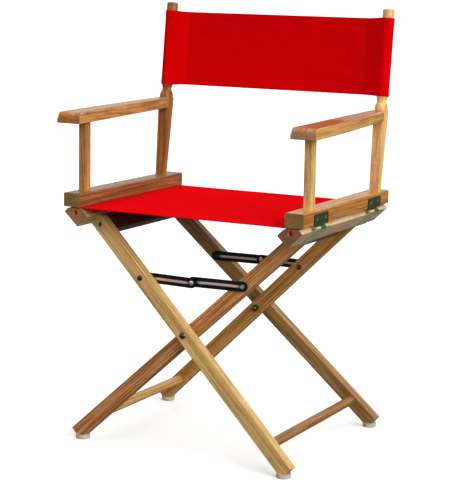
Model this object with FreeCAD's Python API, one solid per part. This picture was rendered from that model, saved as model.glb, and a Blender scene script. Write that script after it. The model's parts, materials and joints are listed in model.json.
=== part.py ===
import FreeCAD, Part
import math
import os

# Folding director chair. Millimetres, +Z up, front towards -Y, origin on the floor under the middle.
V = FreeCAD.Vector
X, Y, Z = V(1, 0, 0), V(0, 1, 0), V(0, 0, 1)

# crossed legs
PIVOT_Z = 238.4          # height of the pivot bolts
LEAN = math.radians(46.5)    # leg from the vertical, seen from the front
SPLAY = math.radians(5.6)    # feet stand further out, front to back, than the tops
LEG_W, LEG_T = 28.9, 22.5
OUTER_Y = 171.5          # middle of the outer legs at the pivot
NEST = 31.5              # inner legs stand this much further in
LEG_TOP = 296.7          # pivot to the underside of the seat rail
LEG_END = 331.0          # pivot to the square lower end
FOOT_Z = 9.0             # the legs' lowest corner is trimmed level here
STRETCHER = 268.0        # pivot to the stretcher dowel
STRETCHER_R = 9.5
GLIDE_X, GLIDE_R = 231.0, 14.0

# seat rail: a bar turned with the legs, planed level on top
RAIL_HALF_Y = 201.8
SEAT_RAIL_W, SEAT_RAIL_TOP, SEAT_RAIL_FAR = 31.0, 467.5, 338.0
SLOT_X, SLOT_Z, SLOT_R, SLIT = 231.0, 459.0, 5.0, 4.4
SEAT_DOWEL_R, SEAT_DOWEL_HALF = 3.2, 192.0
# apron board under each seat rail, between its two legs
APRON_DROP = 39.5        # below the rail, along the legs
APRON_OUT, APRON_IN = -4.5, 11.5

# arm frame
BASE_IN, BASE_OUT, BASE_Z0, BASE_Z1 = 219.6, 257.6, 469.8, 497.1
POST_X = 246.0           # middle of the posts
FRONT_POST_X = 243.4
ARM_Z, ARM_T, ARM_RISE = 631.0, 21.5, math.radians(1.15)
DOWEL_LEAN = math.radians(6.6)
DOWEL_R, DOWEL_TOP_Z = 11.6, 858.5
NECK_Y, NECK_Z = 178.6, 682.0

# butt hinges between seat rail and base rail
PIN_X, PIN_Z, PIN_R, KNUCKLE_R, LEAF_T = 261.0, 465.0, 1.5, 3.0, 1.6
HINGE_Y, HINGE_L = 126.0, 62.0
LOWER_LEAF, LOWER_SCREWS = 42.0, 32.0     # down the seat rail from the leaf's upper edge

# spreader links, in the gap between outer and inner legs
SPREAD = 143.7           # pivot to the link bolts, along the leg
LINK_T, LINK_H, LINK_OFF = 1.5, 20.0, 1.0
BEAD_HALF, BEAD_RISE, BEAD_START = 5.6, 0.75, 20.0     # bead pressed along each link

# canvas
CLOTH, MIDDLE_GAP = 1.6, 0.15
SLEEVE_IN, SLEEVE_T = 0.06, 1.5
SEAT_FRONT, SEAT_REAR = -198.0, 203.0
BACK_Z0, BACK_Z1 = 686.0, 840.0
FIT = 0.04

C, S, P, Q = math.cos(LEAN), math.sin(LEAN), math.cos(SPLAY), math.sin(SPLAY)
PIVOT = V(0, 0, PIVOT_Z)
UP2 = V(-S, 0, C)        # up along the outer legs, seen from the front
OUT2 = V(C, 0, S)        # square to them, towards the upper right
# outer front leg: across, inwards, and up along the leg
LEG_X, LEG_Y, LEG_Z = V(C, 0, S), V(S * Q, P, -C * Q), V(-S * P, Q, C * P)
LEG_O = V(0, -OUTER_Y, PIVOT_Z)
TO_LEG = FreeCAD.Matrix(
    LEG_X.x, LEG_Y.x, LEG_Z.x, LEG_O.x,
    LEG_X.y, LEG_Y.y, LEG_Z.y, LEG_O.y,
    LEG_X.z, LEG_Y.z, LEG_Z.z, LEG_O.z,
    0, 0, 0, 1,
)

NODES = {}


def box(x0, x1, y0, y1, z0, z1):
    return Part.makeBox(x1 - x0, y1 - y0, z1 - z0, V(x0, y0, z0))


def cyl(r, a, b):
    return Part.makeCylinder(r, (b - a).Length, a, b - a)


def cone(r0, r1, a, b):
    return Part.makeCone(r0, r1, (b - a).Length, a, b - a)


def prism(points, along):
    """Solid from a closed flat outline, swept by a vector."""
    return Part.Face(Part.makePolygon(points + points[:1])).extrude(along)


def on_leg(shape):
    """Carry a shape drawn in the outer front leg's own axes into place."""
    out = shape.copy()
    out.transformShape(TO_LEG)
    return out


def mx(shape):
    return shape.mirror(V(0, 0, 0), X)


def my(shape):
    return shape.mirror(V(0, 0, 0), Y)


def nest(shape):
    """From an outer front part to the inner front part that crosses it."""
    out = mx(shape)
    out.translate(V(0, NEST, 0))
    return out


def soften(shape, radius, pick):
    edges = [e for e in shape.Edges if pick(e)]
    return shape.makeFillet(radius, edges) if edges else shape


def line_along(edge, axis):
    a, b = edge.Vertexes[0].Point, edge.Vertexes[-1].Point
    d = b - a
    return d.Length > 1 and abs(abs(d.normalize() * axis) - 1) < 1e-3


def save(name, *shapes):
    NODES[name] = shapes[0] if len(shapes) == 1 else Part.makeCompound(list(shapes))


def countersunk(head, inward, length, r=1.9, head_r=3.4):
    """A wood screw with its head flush at `head`, and the hole that takes it."""
    n = V(inward).normalize()
    tip = head + n * length
    body = cone(head_r, r, head, head + n * 1.8).fuse(cyl(r, head + n * 1.8, tip - n * 3))
    body = body.fuse(cone(r, 0.4, tip - n * 3, tip))
    side = n.cross(V(0.3, 0.8, 0.5)).normalize()
    other = n.cross(side)
    for a in (side, other):
        b = n.cross(a).normalize()
        cross = ((-2.2, -.35), (2.2, -.35), (2.2, .35), (-2.2, .35))
        corners = [head + a * u + b * w - n * 0.1 for u, w in cross]
        body = body.cut(prism(corners, n * 1.2))
    hole = cone(head_r + FIT, r + FIT, head, head + n * 1.8)
    hole = hole.fuse(cyl(r + FIT, head + n * 1.8, tip + n * 0.2))
    hole = hole.fuse(cyl(head_r + FIT, head - n * 1.0, head))
    return body, hole


def dome(r, height, base, out, low=0.5):
    """A low domed bolt head standing on base."""
    n = V(out).normalize()
    ball = (r * r + (height - low) ** 2) / (2 * (height - low))
    cap = Part.makeSphere(ball, base + n * (height - ball))
    cap = cap.common(cyl(r, base + n * low, base + n * (height + 1)))
    return cyl(r, base, base + n * low).fuse(cap).removeSplitter()


def hexagon(across, a, b):
    n = (b - a).normalize()
    side = n.cross(Z if abs(n.z) < 0.9 else X).normalize()
    other = n.cross(side)
    r = across / math.sqrt(3)
    turns = [k * math.pi / 3 for k in range(6)]
    return prism([a + side * (r * math.cos(turn)) + other * (r * math.sin(turn)) for turn in turns], b - a)


# ---------------------------------------------------------------- legs
def leg_blank():
    h, t, top, r = LEG_W / 2, LEG_T / 2, LEG_TOP / P + 1.5, 10.0
    mid = r * (1 - math.sqrt(0.5))
    leg = soften(box(-h, h, -t, t, -360, top), 2.2, lambda e: line_along(e, Z))
    corner = Part.Wire([
        Part.Arc(V(h, -t - 1, top - r), V(h - mid, -t - 1, top - mid), V(h - r, -t - 1, top)).toShape(),
        Part.makeLine(V(h - r, -t - 1, top), V(h - r, -t - 1, top + 5)),
        Part.makeLine(V(h - r, -t - 1, top + 5), V(h + 5, -t - 1, top + 5)),
        Part.makeLine(V(h + 5, -t - 1, top + 5), V(h + 5, -t - 1, top - r)),
        Part.makeLine(V(h + 5, -t - 1, top - r), V(h, -t - 1, top - r)),
    ])
    leg = on_leg(leg.cut(Part.Face(corner).extrude(V(0, LEG_T + 2, 0))))
    reach = 60
    for at, away in ((LEG_TOP, 1), (-LEG_END, -1)):
        base = PIVOT + UP2 * at
        ends = ((-reach, 0), (reach, 0), (reach, 90), (-reach, 90))
        leg = leg.cut(prism([base + OUT2 * u + UP2 * (away * w) - Y * 320 for u, w in ends], Y * 640))
    return leg.cut(box(0, 400, -320, 0, -60, FOOT_Z))


LEG = leg_blank()
BOLT_R = 4.0
LINK_BOLT_R = 3.0
BARREL_S = LEG_TOP / P - 16.0
BARREL_FACE = -LEG_T / 2
BARREL_R, BARREL_END, BARREL_SUNK = 4.0, 5.5, 0.8
RAIL_BOLT_R, RAIL_HEAD_R = 2.5, 4.6
pivot_hole = cyl(BOLT_R + FIT, V(0, -230, PIVOT_Z), V(0, -90, PIVOT_Z))
link_hole = on_leg(cyl(LINK_BOLT_R + FIT, V(0, -20, SPREAD), V(0, 20, SPREAD)))
barrel_mouth = V(0, BARREL_FACE, BARREL_S)
barrel_face = V(0, BARREL_FACE + BARREL_SUNK, BARREL_S)
barrel_hole = cyl(BARREL_R + FIT, barrel_mouth - Y, V(0, BARREL_END + FIT, BARREL_S))
barrel_hole = on_leg(barrel_hole.fuse(cone(BARREL_R + 0.9, BARREL_R + FIT, barrel_mouth, barrel_face)))
rail_bolt_hole = on_leg(cyl(RAIL_BOLT_R + FIT, V(0, 0, BARREL_S - 8), V(0, 0, LEG_TOP + 60)))
stretcher_y = OUTER_Y + STRETCHER * math.tan(SPLAY)
stretcher_at = V(STRETCHER * S, 0, PIVOT_Z - STRETCHER * C)
stretcher_end = stretcher_y - LEG_T / 2 / P + 10.0
stretcher = cyl(STRETCHER_R, stretcher_at - Y * stretcher_end, stretcher_at + Y * stretcher_end)
leg_of = LEG.cut(pivot_hole).cut(link_hole).cut(barrel_hole).cut(rail_bolt_hole)
leg_of = leg_of.cut(stretcher)
inner_end = stretcher_end - NEST
inner_at = V(-stretcher_at.x, 0, stretcher_at.z)
stretcher_in = cyl(STRETCHER_R, inner_at - Y * inner_end, inner_at + Y * inner_end)
save("leg_outer_front", leg_of)
save("leg_outer_rear", my(leg_of))
leg_if = nest(leg_of)
save("leg_inner_front", leg_if)
save("leg_inner_rear", my(leg_if))
save("stretcher_outer", stretcher)
save("stretcher_inner", stretcher_in)

# glides: a shallow cup nailed under each foot
foot_y = OUTER_Y + (PIVOT_Z - FOOT_Z) / C * math.tan(SPLAY)
glide = cyl(GLIDE_R, V(GLIDE_X, -foot_y, 0), V(GLIDE_X, -foot_y, FOOT_Z))
glide = soften(glide, 2.0, lambda e: abs(e.BoundBox.ZMax) < 0.01)
glide = glide.cut(cyl(2.4, V(GLIDE_X, -foot_y, -1), V(GLIDE_X, -foot_y, 4)))
glide = glide.cut(cyl(1.0, V(GLIDE_X, -foot_y, -1), V(GLIDE_X, -foot_y, FOOT_Z + 1)))
# the glide stands under the level part of the foot, so its nail sits inboard of the leg's middle
for name, part in (
    ("glide_outer_front", glide), ("glide_outer_rear", my(glide)),
    ("glide_inner_front", nest(glide)), ("glide_inner_rear", my(nest(glide))),
):
    save(name, part)

# ---------------------------------------------------------------- pivots
face = LEG_T / 2 / P
tilt = math.tan(SPLAY)
head_y = -(OUTER_Y + face + 6.5 * tilt)
nut_y = -(OUTER_Y - NEST - face - 7.0 * tilt)
gap0, gap1 = -(OUTER_Y - face), -(OUTER_Y - NEST + face)
spacer0, spacer1 = gap0 + 8.0 * tilt, gap1 - 8.0 * tilt


def at_pivot(y):
    return V(0, y, PIVOT_Z)


bolt = dome(6.5, 3.6, at_pivot(head_y), -Y).fuse(cyl(BOLT_R, at_pivot(head_y), at_pivot(nut_y + 6.0)))
spacer = cyl(8.0, at_pivot(spacer0), at_pivot(spacer1)).cut(pivot_hole)
washer = cyl(7.0, at_pivot(nut_y), at_pivot(nut_y + 1.2)).cut(pivot_hole)
nut = hexagon(13.0, at_pivot(nut_y + 1.2), at_pivot(nut_y + 6.4))
nut = nut.fuse(Part.makeSphere(5.6, at_pivot(nut_y + 6.2)))
nut = nut.cut(box(-9, 9, nut_y - 9, nut_y + 1.2, 220, 260))
nut = nut.cut(cyl(BOLT_R + FIT, at_pivot(-200), at_pivot(nut_y + 6.1)))
save("pivot_bolts", bolt, my(bolt))
save("pivot_nuts", nut, washer, spacer, my(nut), my(washer), my(spacer))

# ---------------------------------------------------------------- spreader links
t = LEG_T / 2
plate0 = t + LINK_OFF
plate1 = plate0 + LINK_T
bolt_xz = PIVOT + UP2 * (SPREAD * P)
to_mid = V(-bolt_xz.x, bolt_xz.x * S * math.tan(SPLAY), 0)
LINK_L = to_mid.Length
lx = V(to_mid).normalize()          # along the link, in the leg's face plane
lz = lx.cross(LEG_Y).normalize()    # across the link, upwards
bolt_mid = LEG_O + LEG_Z * SPREAD


def on_link(u, w, depth):
    """Point on the link: u along it, w across it, depth inwards from the leg's middle."""
    return bolt_mid + lx * u + lz * w + LEG_Y * depth


def slab(u0, u1, w0, w1, d0, d1):
    pts = [on_link(u0, w0, d0), on_link(u1, w0, d0), on_link(u1, w1, d0), on_link(u0, w1, d0)]
    return prism(pts, LEG_Y * (d1 - d0))


half = LINK_H / 2
link = slab(0, LINK_L, -half, half, plate0, plate1)
for u in (0, LINK_L):
    link = link.fuse(cyl(half, on_link(u, 0, plate0), on_link(u, 0, plate1)))
for side in (-1, 1):
    lo, hi = sorted((side * (half - 1.6), side * half))
    link = link.fuse(slab(14, LINK_L - 18, lo, hi, plate1 - 0.2, plate1 + 0.5))
bead_ball = (BEAD_HALF ** 2 + BEAD_RISE ** 2) / (2 * BEAD_RISE)
bead_depth = plate1 + BEAD_RISE - bead_ball
bead = cyl(bead_ball, on_link(BEAD_START, 0, bead_depth), on_link(LINK_L - BEAD_START, 0, bead_depth))
link = link.fuse(bead.common(slab(0, LINK_L, -half, half, plate1 - 0.2, plate1 + 2))).removeSplitter()
link = link.cut(cyl(LINK_BOLT_R + FIT, on_link(0, 0, 0), on_link(0, 0, 30)))
rivet_hole = cyl(2.5 + FIT, on_link(LINK_L, 0, 0), on_link(LINK_L, 0, 30))
link = link.cut(rivet_hole)
rivet = cyl(2.5, on_link(LINK_L, 0, plate0 - 0.1), on_link(LINK_L, 0, plate1 + 0.1))
rivet = rivet.fuse(dome(4.6, 0.75, on_link(LINK_L, 0, plate0), -LEG_Y, 0.2))
rivet = rivet.fuse(cyl(3.8, on_link(LINK_L, 0, plate1), on_link(LINK_L, 0, plate1 + 0.5)))
link_bolt = dome(5.5, 2.6, on_link(0, 0, -t), -LEG_Y)
link_bolt = link_bolt.fuse(cyl(LINK_BOLT_R, on_link(0, 0, -t), on_link(0, 0, plate1 + 1.7)))
link_spacer = cyl(6.0, on_link(0, 0, t), on_link(0, 0, plate0 - 0.05))
link_spacer = link_spacer.cut(cyl(LINK_BOLT_R + FIT, on_link(0, 0, 0), on_link(0, 0, 30)))
link_nut = hexagon(8.0, on_link(0, 0, plate1 + 0.05), on_link(0, 0, plate1 + 1.9))
link_nut = link_nut.cut(cyl(LINK_BOLT_R + FIT, on_link(0, 0, 0), on_link(0, 0, 30)))


def inner_link(shape):
    """The link and its fastenings on the inner front leg face the other way."""
    leg_mid = LEG_O + LEG_Z * SPREAD
    return nest(shape.mirror(leg_mid, LEG_Y))


for end, flip in (("front", lambda s: s), ("rear", my)):
    for side, place in (("outer", lambda s: s), ("inner", inner_link)):
        save("link_%s_%s" % (side, end), flip(place(link)))
        save("link_rivet_%s_%s" % (side, end), flip(place(rivet)))
        save("link_bolt_%s_%s" % (side, end), flip(place(link_bolt)),
             flip(place(link_spacer)), flip(place(link_nut)))


# ---------------------------------------------------------------- seat rail, left
def in_section(n, s):
    return PIVOT + OUT2 * n + UP2 * s


def meet_top(n):
    """Where the rail's side at n reaches its level top."""
    return in_section(n, (SEAT_RAIL_TOP - PIVOT_Z - n * S) / C)


w = SEAT_RAIL_W / 2
far = in_section(-w, SEAT_RAIL_FAR)
over = (SEAT_RAIL_TOP - far.z) / S
outline = [in_section(-w, LEG_TOP), far, far + OUT2 * over, meet_top(w), in_section(w, LEG_TOP)]
seat_rail = prism([p - Y * RAIL_HALF_Y for p in outline], Y * (2 * RAIL_HALF_Y))


def near_line(edge, point, tol=1.0):
    c = edge.CenterOfMass
    return line_along(edge, Y) and math.hypot(c.x - point.x, c.z - point.z) < tol


seat_rail = soften(seat_rail, 7.0, lambda e: near_line(e, outline[3]))
seat_rail = soften(seat_rail, 2.0, lambda e: any(near_line(e, outline[k]) for k in (0, 4)))
slot = cyl(SLOT_R, V(-SLOT_X, -300, SLOT_Z), V(-SLOT_X, 300, SLOT_Z))
slot = slot.fuse(box(-SLOT_X - SLIT / 2, -SLOT_X + SLIT / 2, -300, 300, SLOT_Z, SEAT_RAIL_TOP + 5))
seat_rail = seat_rail.cut(slot)

# apron: a thin board under the rail, fitted between the legs
apron_corners = [(APRON_OUT, LEG_TOP), (APRON_OUT, LEG_TOP - APRON_DROP),
                 (APRON_IN, LEG_TOP - APRON_DROP), (APRON_IN, LEG_TOP)]
apron = prism([in_section(n, s) - Y * OUTER_Y for n, s in apron_corners], Y * (2 * OUTER_Y))
apron = soften(apron, 1.5, lambda e: line_along(e, Y) and e.CenterOfMass.z < PIVOT_Z + (LEG_TOP - 20) * C)
beyond = on_leg(box(-LEG_W, LEG_W, -90, LEG_T / 2, LEG_TOP - 2 * APRON_DROP, LEG_TOP + 20))
save("apron_left", apron.cut(beyond).cut(my(beyond)))
save("apron_right", mx(apron).cut(nest(beyond)).cut(my(nest(beyond))))

# long bolts hold each rail on its legs, drawn tight in barrel nuts
head_s = LEG_TOP + 16.0     # sunk below the slot for the seat's dowel
rail_bolt = on_leg(cyl(RAIL_BOLT_R, V(0, 0, BARREL_S - 7), V(0, 0, head_s)).fuse(
    cyl(RAIL_HEAD_R, V(0, 0, head_s - 4.0), V(0, 0, head_s))))
rail_bolt_cut = on_leg(cyl(RAIL_BOLT_R + FIT, V(0, 0, BARREL_S - 8), V(0, 0, head_s)).fuse(
    cyl(RAIL_HEAD_R + FIT, V(0, 0, head_s - 4.0), V(0, 0, head_s + 60))))
barrel = cyl(BARREL_R, barrel_face + Y * 0.5, V(0, BARREL_END, BARREL_S))
barrel = barrel.fuse(cone(BARREL_R - 0.8, BARREL_R, barrel_face, barrel_face + Y * 0.5))
barrel = barrel.cut(cyl(RAIL_BOLT_R + FIT, V(0, 0, BARREL_S - 20), V(0, 0, BARREL_S + 20)))
slit = box(-5, 5, barrel_face.y - 1, barrel_face.y + 1.3, BARREL_S - 0.6, BARREL_S + 0.6)
barrel = on_leg(barrel.cut(slit))
seat_rail = seat_rail.cut(rail_bolt_cut).cut(my(rail_bolt_cut))
seat_rail_r = mx(prism([p - Y * RAIL_HALF_Y for p in outline], Y * (2 * RAIL_HALF_Y)))
seat_rail_r = soften(seat_rail_r, 7.0, lambda e: near_line(e, V(-outline[3].x, 0, outline[3].z)))
seat_rail_r = soften(
    seat_rail_r, 2.0, lambda e: any(near_line(e, V(-outline[k].x, 0, outline[k].z)) for k in (0, 4)))
seat_rail_r = seat_rail_r.cut(mx(slot)).cut(nest(rail_bolt_cut)).cut(my(nest(rail_bolt_cut)))
for side, place in (("left", lambda s: s), ("right", nest)):
    front = [place(rail_bolt), place(barrel)]
    save("rail_bolts_" + side, *front, *[my(part) for part in front])

# ---------------------------------------------------------------- arm frame, left
base_rail = box(-BASE_OUT, -BASE_IN, -RAIL_HALF_Y, RAIL_HALF_Y, BASE_Z0, BASE_Z1)
base_rail = soften(base_rail, 2.6, lambda e: line_along(e, Y))

POST_W = 21.0
post_base, post_top = (150.0, 163.0), (162.0, 193.5)     # front and rear faces, at foot and shoulder
shoulder_z = 660.0
DOME_H, DOME_R, NECK_R = 14.0, 14.6, 9.6
lean = V(0, math.sin(DOWEL_LEAN), math.cos(DOWEL_LEAN))
neck = V(-POST_X, NECK_Y, NECK_Z)


def on_dowel(z):
    return neck + lean * ((z - NECK_Z) / lean.z)


dowel_top = on_dowel(DOWEL_TOP_Z - DOWEL_R * math.sin(DOWEL_LEAN))
post_side = -POST_X - POST_W / 2
foot0, foot1 = [V(post_side, y, BASE_Z1) for y in post_base]
top0, top1 = [V(post_side, y, shoulder_z + DOME_H) for y in post_top]
rear_post = prism([foot0, foot1, top1, top0], X * POST_W)
rear_post = soften(rear_post, 1.8, lambda e: e.Length > 100 and abs(e.CenterOfMass.z - 580) < 15)
# the square post is turned to a dome at its shoulder, with a narrow neck above it
dome_start, dome_end = on_dowel(shoulder_z - 3), on_dowel(shoulder_z + DOME_H)
reach = (dome_end - dome_start).Length
edge_of_dome = Part.Wire([
    Part.Arc(V(DOME_R, 0, 0), V(DOME_R - 1.6, 0, reach * 0.62), V(NECK_R, 0, reach)).toShape(),
    Part.makeLine(V(NECK_R, 0, reach), V(0, 0, reach)),
    Part.makeLine(V(0, 0, reach), V(0, 0, -400)),
    Part.makeLine(V(0, 0, -400), V(DOME_R, 0, -400)),
    Part.makeLine(V(DOME_R, 0, -400), V(DOME_R, 0, 0)),
])
turned = Part.Face(edge_of_dome).revolve(V(0, 0, 0), Z, 360)
turned.rotate(V(0, 0, 0), X, -math.degrees(DOWEL_LEAN))
turned.translate(dome_start)
above = box(-300, -200, 100, 300, shoulder_z - 3, 800)
rear_post = rear_post.cut(above.cut(turned))
spindle = cyl(NECK_R, on_dowel(shoulder_z), on_dowel(BACK_Z0 - 7))
spindle = spindle.fuse(cone(NECK_R, DOWEL_R, on_dowel(BACK_Z0 - 7), on_dowel(BACK_Z0)))
spindle = spindle.fuse(cyl(DOWEL_R, on_dowel(BACK_Z0), dowel_top - lean * 1.8))
spindle = spindle.fuse(cone(DOWEL_R, DOWEL_R - 1.8, dowel_top - lean * 1.8, dowel_top))
rear_post = rear_post.fuse(spindle).removeSplitter()

front_post = box(-FRONT_POST_X - 8, -FRONT_POST_X + 8, -159.0, -139.0, BASE_Z1, ARM_Z + 8)
front_post = soften(front_post, 1.8, lambda e: line_along(e, Z))

arm_back = 166.0
# the nose is rounded down to a small step above a plain band
ARM_FRONT, NOSE_STEP, NOSE_BAND = -197.0, 1.8, 10.0
outer_line = (-276.2, ARM_FRONT), (-274.6, -110), (-268.5, 20), (-258.6, arm_back)
outer_edge = [V(x, y, ARM_Z) for x, y in outer_line]
inner_edge = [V(-231.0, arm_back, ARM_Z), V(-224.6, ARM_FRONT, ARM_Z)]
sweep = Part.BSplineCurve()
sweep.interpolate(outer_edge)
straight = [outer_edge[-1]] + inner_edge + [outer_edge[0]]
plan = Part.Wire([sweep.toShape()] + [Part.makeLine(a, b) for a, b in zip(straight, straight[1:])])
armrest = Part.Face(plan).extrude(Z * ARM_T)
top_z = ARM_Z + ARM_T
nose = box(-300, -200, -220, ARM_FRONT + NOSE_STEP, ARM_Z + NOSE_BAND, top_z + 1)
armrest = armrest.cut(nose)


def runs_at(edge, z, length, y_limit):
    c = edge.CenterOfMass
    return edge.Length > length and abs(c.z - z) < 0.1 and c.y < y_limit


armrest = soften(armrest, 10.0, lambda e: line_along(e, X) and runs_at(e, top_z, 20, -190))
armrest = soften(armrest, 2.4, lambda e: runs_at(e, top_z, 100, arm_back))
armrest = soften(armrest, 1.6, lambda e: runs_at(e, ARM_Z, 40, arm_back - 5))
armrest.rotate(V(0, ARM_FRONT, ARM_Z), X, math.degrees(ARM_RISE))
slope = (post_top[0] - post_base[0]) / (shoulder_z + DOME_H - BASE_Z1)
stop = [V(-300, post_base[0] + slope * (z - BASE_Z1), z) for z in (600, 700)]
stop += [V(-300, 260, 700), V(-300, 260, 600)]
armrest = armrest.cut(prism(stop, X * 100))
front_post = front_post.cut(armrest)
front_post = front_post.common(box(-300, -200, -300, 0, BASE_Z1, ARM_Z + 6))
below = front_post.Solids
front_post = min(below, key=lambda s: s.CenterOfMass.z)

# screws up through the base rail into both posts, and down through the armrest into the front post
post_screws, cuts = [], []
for at in (V(-FRONT_POST_X, -149, BASE_Z0), V(-POST_X, 156.5, BASE_Z0)):
    screw, hole = countersunk(at, Z, 58.0, 2.2, 4.4)
    post_screws.append(screw)
    cuts.append(hole)
fix, fix_hole = countersunk(V(-POST_X, 186.5, 647.0), V(0, -1, 0.02), 52.0, 2.2, 4.2)
post_screws.append(fix)
cuts.append(fix_hole.fuse(cyl(4.3, V(-POST_X, 186.4, 647.0), V(-POST_X, 215, 647.0))))
for hole in cuts:
    base_rail, front_post, rear_post = base_rail.cut(hole), front_post.cut(hole), rear_post.cut(hole)
    armrest = armrest.cut(hole)

# ---------------------------------------------------------------- butt hinges, left
pin_at = V(-PIN_X, 0, PIN_Z)
KNUCKLES = 3


def hinge(y_mid):
    y0 = y_mid - HINGE_L / 2
    third = HINGE_L / KNUCKLES
    upper_plate = box(-BASE_OUT - LEAF_T, -BASE_OUT, y0, y0 + HINGE_L, PIN_Z + KNUCKLE_R + 1.3, 491.0)
    upper_plate = soften(upper_plate, 2.0, lambda e: line_along(e, X) and e.CenterOfMass.z > 490)
    start = far + UP2 * 2.6
    end = start - UP2 * LOWER_LEAF
    lower_plate = prism([start, end, end - OUT2 * LEAF_T, start - OUT2 * LEAF_T], Y * HINGE_L)
    lower_plate.translate(V(0, y0, 0))
    lower_plate = soften(
        lower_plate, 2.0, lambda e: line_along(e, OUT2) and e.CenterOfMass.z < far.z - 20)
    for k in range(KNUCKLES):
        a, b = y0 + k * third + 0.2, y0 + (k + 1) * third - 0.2
        knuckle = cyl(KNUCKLE_R, pin_at + Y * a, pin_at + Y * b)
        if k % 2:
            web = box(-BASE_OUT - LEAF_T, -BASE_OUT, a, b, PIN_Z, PIN_Z + KNUCKLE_R + 1.5)
            upper_plate = upper_plate.fuse(web).fuse(knuckle)
        else:
            web = prism([far - UP2 * 0.5, far + UP2 * 7.0, far + UP2 * 7.0 - OUT2 * LEAF_T,
                         far - UP2 * 0.5 - OUT2 * LEAF_T], Y * (b - a))
            web.translate(V(0, a, 0))
            lower_plate = lower_plate.fuse(web).fuse(knuckle)
    bore = cyl(PIN_R + FIT, pin_at + Y * (y0 - 1), pin_at + Y * (y0 + HINGE_L + 1))
    pin = cyl(PIN_R, pin_at + Y * (y0 - 0.6), pin_at + Y * (y0 + HINGE_L + 0.6))
    upper_screws, lower_screws, up_holes, low_holes = [], [], [], []
    for k in (0, 1):
        y = y0 + 13.0 + k * (HINGE_L - 26.0)
        s, h = countersunk(V(-BASE_OUT - LEAF_T, y, 481.5), X, 18.0)
        upper_screws.append(s)
        up_holes.append(h)
        seat = far - UP2 * LOWER_SCREWS - OUT2 * LEAF_T
        s, h = countersunk(V(seat.x, y, seat.z), OUT2, 11.0)
        lower_screws.append(s)
        low_holes.append(h)
    upper, lower = upper_plate.cut(bore).removeSplitter(), lower_plate.cut(bore).removeSplitter()
    for h in up_holes:
        upper = upper.cut(h)
    for h in low_holes:
        lower = lower.cut(h)
    return upper, lower, pin, upper_screws, lower_screws, up_holes, low_holes


for side, flip in (("left", lambda s: s), ("right", mx)):
    rail, base = (seat_rail, base_rail) if side == "left" else (seat_rail_r, mx(base_rail))
    top_screws, bottom_screws = [], []
    for end, y_mid in (("front", -HINGE_Y), ("rear", HINGE_Y)):
        upper, lower, pin, us, ls, uh, lh = hinge(y_mid)
        save("hinge_upper_%s_%s" % (side, end), flip(upper))
        save("hinge_lower_%s_%s" % (side, end), flip(lower), flip(pin))
        top_screws += [flip(s) for s in us]
        bottom_screws += [flip(s) for s in ls]
        for h in uh:
            base = base.cut(flip(h))
        for h in lh:
            rail = rail.cut(flip(h))
    save("hinge_screws_upper_" + side, *top_screws)
    save("hinge_screws_lower_" + side, *bottom_screws)
    save("seat_rail_" + side, rail)
    save("base_rail_" + side, base)
    save("front_post_" + side, flip(front_post))
    save("rear_post_" + side, flip(rear_post))
    save("armrest_" + side, flip(armrest))
    save("post_screws_" + side, *[flip(s) for s in post_screws])

    # seat canvas: hem round a dowel in the rail's slot, and half of the seat
    peg = cyl(SEAT_DOWEL_R, V(-SLOT_X, -SEAT_DOWEL_HALF, SLOT_Z), V(-SLOT_X, SEAT_DOWEL_HALF, SLOT_Z))
    save("seat_dowel_" + side, flip(peg))
    z0 = SEAT_RAIL_TOP + 0.2
    hem = cyl(4.7, V(-SLOT_X, SEAT_FRONT, SLOT_Z), V(-SLOT_X, SEAT_REAR, SLOT_Z))
    hem = hem.fuse(box(-SLOT_X - 1.8, -SLOT_X + 1.8, SEAT_FRONT, SEAT_REAR, SLOT_Z, z0 + 0.1))
    hem = hem.fuse(box(-SLOT_X - 1.8, -219.2, SEAT_FRONT, SEAT_REAR, z0, z0 + 1.8))
    hem = hem.cut(cyl(SEAT_DOWEL_R + FIT, V(-SLOT_X, -210, SLOT_Z), V(-SLOT_X, 210, SLOT_Z)))
    save("seat_hem_" + side, flip(hem.removeSplitter()))
    seat_half = box(-218.9, -MIDDLE_GAP, SEAT_FRONT, SEAT_REAR, z0 + 0.2, z0 + 0.2 + CLOTH)
    save("seat_canvas_" + side, flip(seat_half))

    # back canvas: a sleeve on the post's dowel, and half of the back
    sleeve = cyl(DOWEL_R + SLEEVE_IN + SLEEVE_T, on_dowel(BACK_Z0), on_dowel(BACK_Z1))
    a, b = on_dowel(BACK_Z0), on_dowel(BACK_Z1)
    back = lean.cross(X).normalize()
    h = CLOTH / 2
    middle = V(-MIDDLE_GAP, a.y, a.z)
    sheet = prism([a + back * h, middle + back * h, middle - back * h, a - back * h], b - a)
    half_back = sleeve.fuse(sheet).removeSplitter()
    half_back = half_back.cut(cyl(DOWEL_R + SLEEVE_IN, on_dowel(BACK_Z0 - 10), on_dowel(BACK_Z1 + 10)))
    save("back_canvas_" + side, flip(half_back))

os.makedirs("parts", exist_ok=True)
for name, shape in NODES.items():
    shape.exportStep("parts/%s.step" % name)
print(len(NODES), "nodes")
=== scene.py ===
import json
import math

import bpy
import numpy as np
from mathutils import Matrix, Vector


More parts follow.
